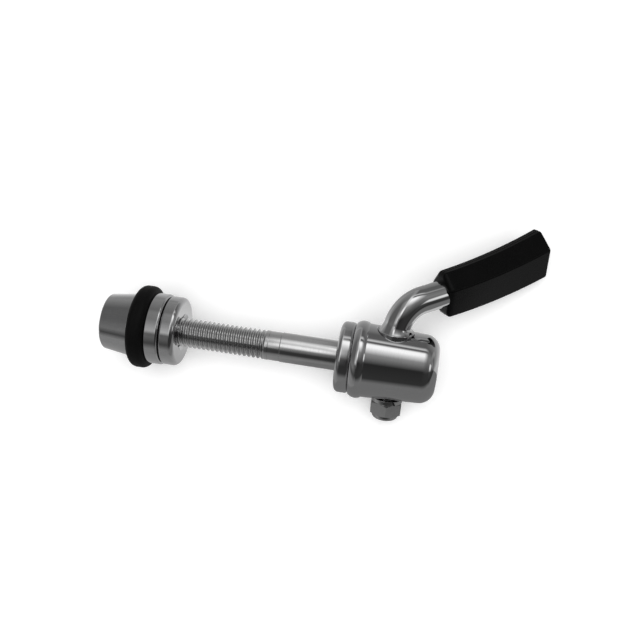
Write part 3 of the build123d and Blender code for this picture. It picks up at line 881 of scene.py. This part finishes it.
# --- nut and spring washer on the shaft -----------------------------------------------------
def lock_nut():
    """Lock nut: at each angle the wall lies at the flats' distance over the cosine of the
    angle from the nearest flat, a 30 degree cone takes the corners off both ends, and a round
    collar below is curled in over the insert."""
    angle = np.linspace(0, 2 * math.pi, 145)
    from_flat = angle % (math.pi / 3) - math.pi / 6
    wall = SHAFT_NUT_HALF / np.cos(from_flat)
    face = SHAFT_NUT_HALF * SHAFT_NUT_FACE
    drop = (wall - face) * math.tan(SHAFT_NUT_CHAMFER)
    bore, lead = TAIL_R + RUNNING_GAP, SHAFT_NUT_LEAD
    high, hex_low, low = NUT_TOP_W, NUT_TOP_W - SHAFT_NUT_HEX, NUT_LOW_W
    recess = INSERT_R + INSERT_GAP
    curl = np.linspace(0, math.pi / 2, 9)
    rows = [
        (bore, high - lead), (bore, INSERT_W), (recess, INSERT_W),
        (recess, low + COLLAR_LIP), (COLLAR_MOUTH_R, low + COLLAR_LIP), (COLLAR_MOUTH_R, low),
    ]
    rows += [(COLLAR_R - COLLAR_ROUND * (1 - math.sin(a)), low + COLLAR_ROUND * (1 - math.cos(a)))
             for a in curl]
    rows += [
        (COLLAR_R, hex_low - 0.15), (COLLAR_R + 0.12, hex_low), (face, hex_low),
        (wall, hex_low + drop), (wall, hex_low + drop + SUPPORT), (wall, high - drop - SUPPORT),
        (wall, high - drop), (face, high), (bore + lead, high), (bore, high - lead),
    ]
    grid = [np.stack([r * np.cos(angle), w + 0 * angle, r * np.sin(angle)], -1) for r, w in rows]
    return [swung(np.array(grid))]


def nut_insert():
    """Nylon ring in the nut's collar: a square outline with softened corners, carried round."""
    bore, low = TAIL_R + RUNNING_GAP, INSERT_W - INSERT_GAP - INSERT_THICKNESS
    section = rounded_outline([
        (bore, low, 0.08), (INSERT_R, low, 0.12), (INSERT_R, INSERT_W - INSERT_GAP, 0.12),
        (bore, INSERT_W - INSERT_GAP, 0.08),
    ], closed=True, spacing=0.4, degrees=22)
    angle = np.linspace(0, 2 * math.pi, 97)
    grid = [np.stack([r * np.cos(angle), w + 0 * angle, r * np.sin(angle)], -1) for r, w in section]
    return [swung(np.array(grid))]


def spring_washer():
    """Split washer: a small rounded section carried round the shaft from one side of the
    slanted split to the other, closed at both ends."""
    section = rounded_outline([
        (SPRING_BORE_R, NUT_TOP_W, 0.1), (SPRING_R, NUT_TOP_W, 0.12),
        (SPRING_R, SHOULDER_W, 0.12), (SPRING_BORE_R, SHOULDER_W, 0.1),
    ], closed=True, spacing=0.4, degrees=22)
    centre = section[:-1].mean(0)
    share = np.linspace(0, 1, 121)
    half_split = SPRING_SPLIT / 2 / SPRING_R
    rows = []
    middle_w = (NUT_TOP_W + SHOULDER_W) / 2
    for part in np.concatenate([[-1.0], share, [2.0]]):
        r, w = (section if 0 <= part <= 1 else np.repeat(centre[None], len(section), 0)).T
        at = SPRING_SPLIT_ANGLE + half_split + min(max(part, 0), 1) * (2 * math.pi - 2 * half_split)
        lean = (w - middle_w) * math.tan(SPRING_SLANT) / SPRING_R
        turn = at + LEVER_ANGLE + lean
        rows.append(np.stack([r * np.cos(turn), w, r * np.sin(turn)], -1))
    return [swung(np.array(rows))]


# --- the pieces ---------------------------------------------------------------------------
piece("stud_visual", stud_body() + stud_head(), ZINC, "stud", "zinc_steel", "stud")
piece("nut_washer_visual", clamp_washer("nut_washer", BACK_ROUND, CLAMP_SIDE_ROUND), NUT_CHROME,
      "nut_washer", "chrome", "nut_washer")
piece("cam_washer_visual", clamp_washer("cam_washer", CLAMP_SIDE_ROUND, RIM_SIDE_ROUND), CHROME,
      "housing", "chrome", "cam_washer")
piece("adjusting_nut_visual", cone_nut(), NUT_CHROME, "adjusting_nut", "chrome", "adjusting_nut")
piece("finger_ring_visual", rubber_ring(), RUBBER, "adjusting_nut", "rubber", "finger_ring")
piece("cam_housing_visual", housing(), CHROME, "housing", "chrome", "cam_housing")
piece("cam_lever_visual", lever(), CHROME, "lever", "chrome", "cam_lever")
piece("lever_grip_visual", grip(), PLASTIC, "lever", "grip_plastic", "lever_grip")
piece("shaft_nut_visual", lock_nut(), ZINC, "lever", "zinc_steel", "shaft_nut")
piece("nut_insert_visual", nut_insert(), NYLON, "lever", "nylon", "nut_insert")
piece("spring_washer_visual", spring_washer(), ZINC, "lever", "zinc_steel", "spring_washer")


# --- floor, light tent and lamps -------------------------------------------------------------
FLOOR_Z = cad_box[0][2]
FLOOR_RADIUS = 4.0
FLOOR_GLOW = 0.25         # to the camera only


def stage_disc(name, radius, z, material):
    """A flat round sheet: radius times cosine and sine of the angle."""
    angle = np.linspace(0, 2 * math.pi, 65)[:-1]
    rim = np.stack([radius * np.cos(angle), radius * np.sin(angle), 0 * angle + z], -1)
    mesh = bpy.data.meshes.new(name)
    mesh.from_pydata(rim, [], [list(range(64))])
    mesh.materials.append(material)
    disc = bpy.data.objects.new(name, mesh)
    bpy.context.scene.collection.objects.link(disc)
    return disc


def make_floor():
    """Plain pale floor, a touch paler to the camera."""
    material, tree, shader, _ = new_material("pale_floor")
    shader.inputs["Base Color"].default_value = (0.9, 0.9, 0.9, 1)
    shader.inputs["Roughness"].default_value = 0.9
    shader.inputs["Specular IOR Level"].default_value = 0.0
    shader.inputs["Emission Color"].default_value = (1, 1, 1, 1)
    seen = tree.nodes.new("ShaderNodeLightPath").outputs["Is Camera Ray"]
    glow = math_node(tree, "MULTIPLY", seen, FLOOR_GLOW)
    tree.links.new(glow, shader.inputs["Emission Strength"])
    stage_disc("floor", FLOOR_RADIUS, FLOOR_Z, material)


# The soft boxes and dark cards that the metal mirrors: (degrees from overhead towards the back,
# level), with the level running straight from one to the next. The rows follow each other along
# the stud from the nut's side to beyond the grip, and the pairs after them give, for degrees along
# the stud, how much of the next row there is.
TENT_R = 0.24
TENT_FULL = 1.6           # the light at level 1
TENT_ROWS = 64
TENT_COLUMNS = 96
TENT_LIFT = 0.0002        # the tent's flat bottom lies this far above the floor
SIDE_PANELS = [
    (-180, 0.2), (-80, 0.2), (-60, 0.05), (-40, 0.15), (0, 0.1), (50, 0.1), (150, 0.4), (180, 0.4),
]
LEFT_PANELS = [
    (-180, 0.4), (-80, 0.15), (-65, 0.05), (-30, 0.05), (-20, 0.75), (-10, 0.65), (15, 0.3),
    (40, 0.35), (50, 0.2), (100, 0.2), (135, 0.8), (180, 0.4),
]
MIDDLE_PANELS = [
    (-180, 0.4), (-75, 0.15), (-60, 0.03), (-40, 0.03), (-15, 0.2), (0, 0.9), (10, 0.9),
    (20, 0.55), (40, 0.8), (65, 0.25), (90, 0.25), (150, 0.5), (180, 0.4),
]
RIGHT_PANELS = [
    (-180, 0.15), (-80, 0.15), (-65, 0.03), (-20, 0.02), (10, 0.25), (32, 1.0), (40, 1.0),
    (46, 0.1), (50, 0.1), (54, 0.6), (62, 0.1), (80, 0.1), (150, 0.5), (180, 0.4),
]
END_PANELS = [
    (-180, 0.15), (-85, 0.15), (-65, 0.03), (-25, 0.03), (30, 0.2), (60, 0.1), (130, 0.3),
    (180, 0.4),
]
GLINT_PANELS = [
    (-180, 0.15), (-90, 0.15), (-65, 0.02), (-20, 0.05), (-5, 0.75), (12, 0.75), (20, 0.15),
    (180, 0.4),
]
SIDE_TO_LEFT = [(-180, 0.0), (-36, 0.0), (-31, 0.3), (-26, 0.45), (-19, 0.7), (-13, 1.0)]
LEFT_TO_MIDDLE = [(-180, 0.0), (-15.5, 0.0), (-12.5, 1.0)]
MIDDLE_TO_RIGHT = [(-180, 0.0), (-6.5, 0.0), (-3, 1.0)]
RIGHT_TO_END = [(-180, 0.0), (11, 0.0), (22, 0.55), (34, 1.0)]
END_TO_GLINT = [(-180, 0.0), (52, 0.0), (56, 1.0), (62, 1.0), (68, 0.0)]


def ramp(tree, value, stops):
    """A colour ramp over -180 to 180 degrees, from (degrees, level) stops."""
    node = tree.nodes.new("ShaderNodeValToRGB")
    share = math_node(tree, "MULTIPLY_ADD", value, 0.5 / math.pi, 0.5)
    tree.links.new(share, node.inputs[0])
    while len(node.color_ramp.elements) < len(stops):
        node.color_ramp.elements.new(0.5)
    for element, (degrees, level) in zip(node.color_ramp.elements, stops):
        element.position = degrees / 360 + 0.5
        element.color = (level, level, level, 1)
    return node.outputs["Color"]


def tent_material():
    """What the metal mirrors. The angle from overhead towards the back picks the brightness
    from six rows of panels, and the angle along the stud goes from one row to the next."""
    material = bpy.data.materials.new("tent_panels")
    material.use_nodes = True
    tree = material.node_tree
    tree.nodes.clear()
    place = tree.nodes.new("ShaderNodeTexCoord").outputs["Object"]
    split = tree.nodes.new("ShaderNodeSeparateXYZ")
    tree.links.new(place, split.inputs[0])
    round_stud = math_node(tree, "ARCTAN2", split.outputs[1], split.outputs[2])
    along = math_node(tree, "ARCSINE", math_node(tree, "MULTIPLY", split.outputs[0], 1 / TENT_R))
    panels = ramp(tree, round_stud, SIDE_PANELS)
    steps = ((SIDE_TO_LEFT, LEFT_PANELS), (LEFT_TO_MIDDLE, MIDDLE_PANELS),
             (MIDDLE_TO_RIGHT, RIGHT_PANELS), (RIGHT_TO_END, END_PANELS),
             (END_TO_GLINT, GLINT_PANELS))
    for share, row in steps:
        mix = tree.nodes.new("ShaderNodeMix")
        mix.data_type = "RGBA"
        tree.links.new(ramp(tree, along, share), mix.inputs["Factor"])
        tree.links.new(panels, mix.inputs["A"])
        tree.links.new(ramp(tree, round_stud, row), mix.inputs["B"])
        panels = mix.outputs["Result"]
    glow = tree.nodes.new("ShaderNodeEmission")
    glow.inputs["Strength"].default_value = TENT_FULL
    tree.links.new(panels, glow.inputs["Color"])
    out = tree.nodes.new("ShaderNodeOutputMaterial")
    tree.links.new(glow.outputs[0], out.inputs["Surface"])
    return material


def make_tent():
    """Light tent: a ball round the bolt with a flat bottom on the floor, seen only in
    reflections. It hides the floor and the surroundings from them."""
    angle = np.linspace(0, 2 * math.pi, TENT_COLUMNS + 1)[None, :]
    lift = np.linspace(-math.pi / 2, math.pi / 2, TENT_ROWS + 1)[:, None]
    x = TENT_R * np.cos(lift) * np.cos(angle)
    y = TENT_R * np.cos(lift) * np.sin(angle)
    z = np.maximum(TENT_R * np.sin(lift) + 0 * angle, FLOOR_Z + TENT_LIFT)
    points = np.stack([x, y, z], -1).reshape(-1, 3)
    row = TENT_COLUMNS + 1
    corner = np.arange(TENT_ROWS)[:, None] * row + np.arange(TENT_COLUMNS)[None, :]
    cells = np.stack([corner, corner + 1, corner + row + 1, corner + row], -1).reshape(-1, 4)
    mesh = bpy.data.meshes.new("light_tent")
    mesh.from_pydata(points, [], cells)
    mesh.materials.append(tent_material())
    tent = bpy.data.objects.new("light_tent", mesh)
    bpy.context.scene.collection.objects.link(tent)
    tent.visible_camera = False
    tent.visible_diffuse = False
    tent.visible_transmission = False
    tent.visible_shadow = False


def add_sun(name, height, bearing, spread, strength):
    """Soft even light from a direction in degrees, left out of mirror reflections."""
    data = bpy.data.lights.new(name, "SUN")
    data.energy = strength
    data.angle = math.radians(spread)
    sun = bpy.data.objects.new(name, data)
    sun.rotation_euler = (math.radians(90 - height), 0, math.radians(90 + bearing))
    sun.visible_glossy = False
    bpy.context.scene.collection.objects.link(sun)


def make_world():
    """Even pale surroundings: near white to the camera, dimmer as light. Reflections would see
    them near white too, but the tent stands in front."""
    world = bpy.data.worlds.new("studio")
    world.use_nodes = True
    tree = world.node_tree
    paths = tree.nodes.new("ShaderNodeLightPath").outputs
    seen = math_node(tree, "MAXIMUM", paths["Is Camera Ray"], paths["Is Glossy Ray"])
    seen = math_node(tree, "MAXIMUM", seen, paths["Is Transmission Ray"])
    background = tree.nodes["Background"]
    background.inputs["Color"].default_value = (1, 1, 1, 1)
    tree.links.new(ranged(tree, seen, 0.25, 0.95), background.inputs["Strength"])
    bpy.context.scene.world = world


make_floor()
make_tent()
make_world()
add_sun("overhead_softbox", height=80, bearing=-60, spread=70, strength=2.4)

# --- camera ---------------------------------------------------------------------------------
CAMERA_PLACE = Vector((17.9, -30.41, 210.55)) * MM
CAMERA_RIGHT = Vector((0.9828, 0.1648, -0.0829))
CAMERA_FORWARD = Vector((-0.1129, 0.182, -0.9768))


def make_camera():
    """Camera looking down on the bolt from in front."""
    data = bpy.data.cameras.new("camera")
    data.lens = 45.22
    data.sensor_width = 36.0
    camera = bpy.data.objects.new("camera", data)
    forward = CAMERA_FORWARD.normalized()
    right = CAMERA_RIGHT.normalized()
    up = right.cross(forward).normalized()
    right = forward.cross(up)
    turn = Matrix((right, up, -forward)).transposed()
    camera.matrix_world = Matrix.Translation(CAMERA_PLACE) @ turn.to_4x4()
    bpy.context.scene.collection.objects.link(camera)
    bpy.context.scene.camera = camera


make_camera()
bpy.context.scene.view_settings.view_transform = "Standard"
